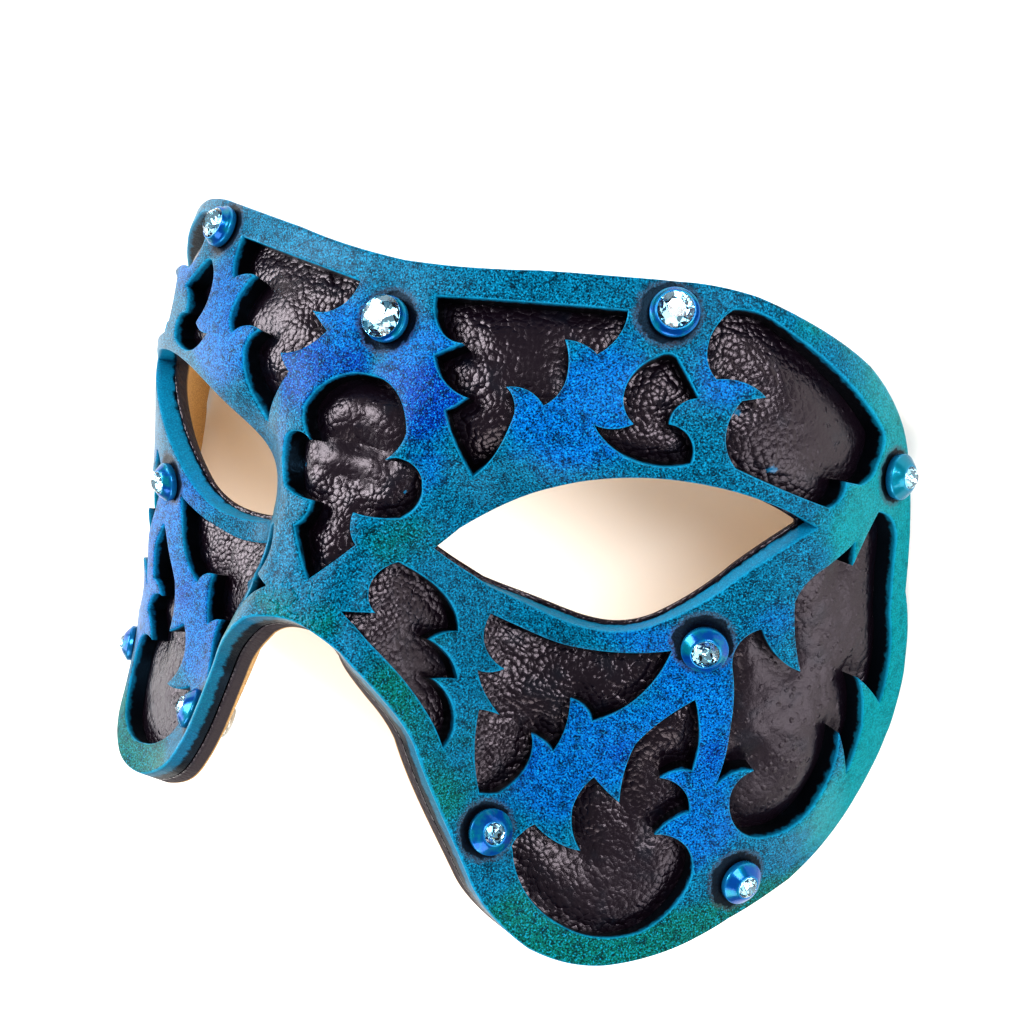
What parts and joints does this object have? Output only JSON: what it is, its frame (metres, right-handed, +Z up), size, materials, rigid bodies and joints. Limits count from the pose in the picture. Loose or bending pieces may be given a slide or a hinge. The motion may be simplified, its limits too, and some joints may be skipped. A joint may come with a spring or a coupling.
{
  "type": "leather half-face mask",
  "caption": "Half-face mask of two layers of shaped leather: a carved, pierced front layer over a backing, with eye openings and crystal-set rivets.",
  "frame": {"origin": "middle of the underside's bounding box, on the floor that the two side rims lie on", "axes": "+X to the wearer's left, +Y towards the forehead, +Z up and out of the face"},
  "size_m": [0.1644, 0.109, 0.065],
  "materials": {
    "carved_leather": "dyed blue to teal, speckled, satin sealed",
    "backing_leather": "dyed black, pebbled, glossy sealed front; bare tan inside",
    "rivet_metal": "deep blue, glossy",
    "crystal": "faceted, clear with a pale blue cast"
  },
  "bodies": {
    "root": {"carved_layer": "carved_leather", "backing_layer": "backing_leather", "rivet_centre": "rivet_metal", "crystal_centre": "crystal", "rivet_forehead_left": "rivet_metal", "crystal_forehead_left": "crystal", "rivet_forehead_right": "rivet_metal", "crystal_forehead_right": "crystal", "rivet_temple_left": "rivet_metal", "crystal_temple_left": "crystal", "rivet_temple_right": "rivet_metal", "crystal_temple_right": "crystal", "rivet_under_eye_left": "rivet_metal", "crystal_under_eye_left": "crystal", "rivet_under_eye_right": "rivet_metal", "crystal_under_eye_right": "crystal", "rivet_inner_cheek_left": "rivet_metal", "crystal_inner_cheek_left": "crystal", "rivet_inner_cheek_right": "rivet_metal", "crystal_inner_cheek_right": "crystal", "rivet_outer_cheek_left": "rivet_metal", "crystal_outer_cheek_left": "crystal", "rivet_outer_cheek_right": "rivet_metal", "crystal_outer_cheek_right": "crystal"}
  },
  "joints": []
}
